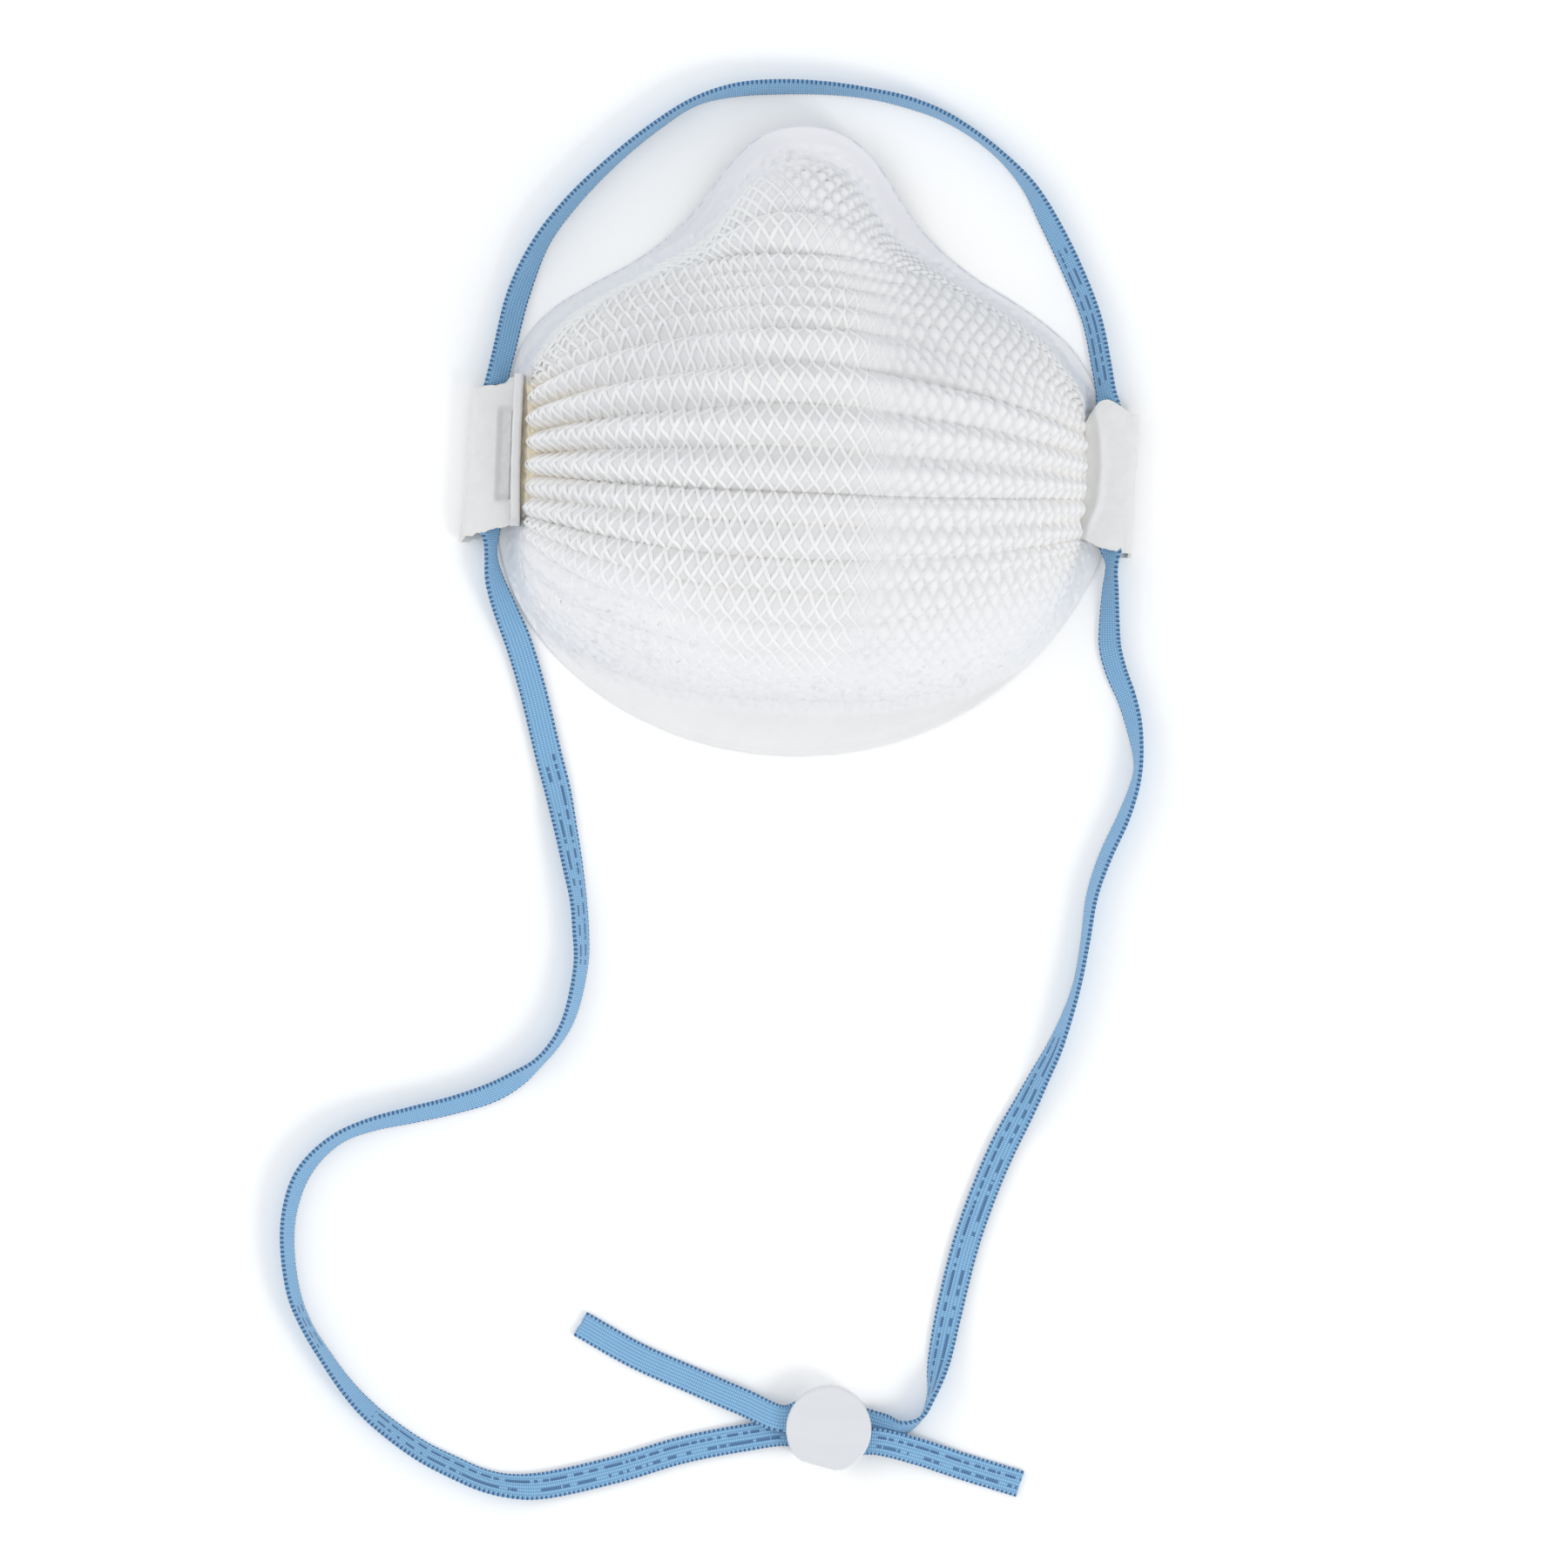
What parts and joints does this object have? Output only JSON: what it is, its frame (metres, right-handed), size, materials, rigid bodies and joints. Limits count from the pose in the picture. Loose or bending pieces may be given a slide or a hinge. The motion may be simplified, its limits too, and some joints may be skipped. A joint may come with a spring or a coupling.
{
  "type": "disposable dust mask",
  "caption": "Cup-shaped disposable respirator with a fanned, corrugated mesh shell, a smooth face flange, folded strap tabs and a woven head strap with a sliding disc buckle.",
  "frame": {"origin": "centre of the bottom of the cup, flange and tabs, on the table under the middle of the cup", "axes": "+X across the face towards the tab without the weld mark, +Y from the chin up to the nose, +Z out of the face"},
  "size_m": [0.1934, 0.3282, 0.0513],
  "materials": {
    "netting": "white moulded plastic netting",
    "web": "soft white nonwoven",
    "filter": "filter felt",
    "flange": "pressed smooth nonwoven",
    "foam": "soft foam",
    "laminate": "heat-welded laminate",
    "elastic": "woven elastic with dark dots",
    "plastic": "smooth injection moulded"
  },
  "bodies": {
    "mask": {"outer_mesh_shell": "netting", "cover_web": "web", "filter_media": "filter", "inner_lining": "web", "face_flange": "flange", "nose_cushion": "foam", "left_strap_tab": "laminate", "right_strap_tab": "laminate", "head_strap": "elastic"},
    "buckle": {"buckle_base": "plastic", "buckle_cap": "plastic"}
  },
  "joints": [
    {"name": "buckle_slide", "type": "slide", "parent": "mask", "child": "buckle", "axis": [0.974, -0.2267, 0], "range_m": [-0.008, 0.008], "deforming": ["head_strap"]}
  ]
}
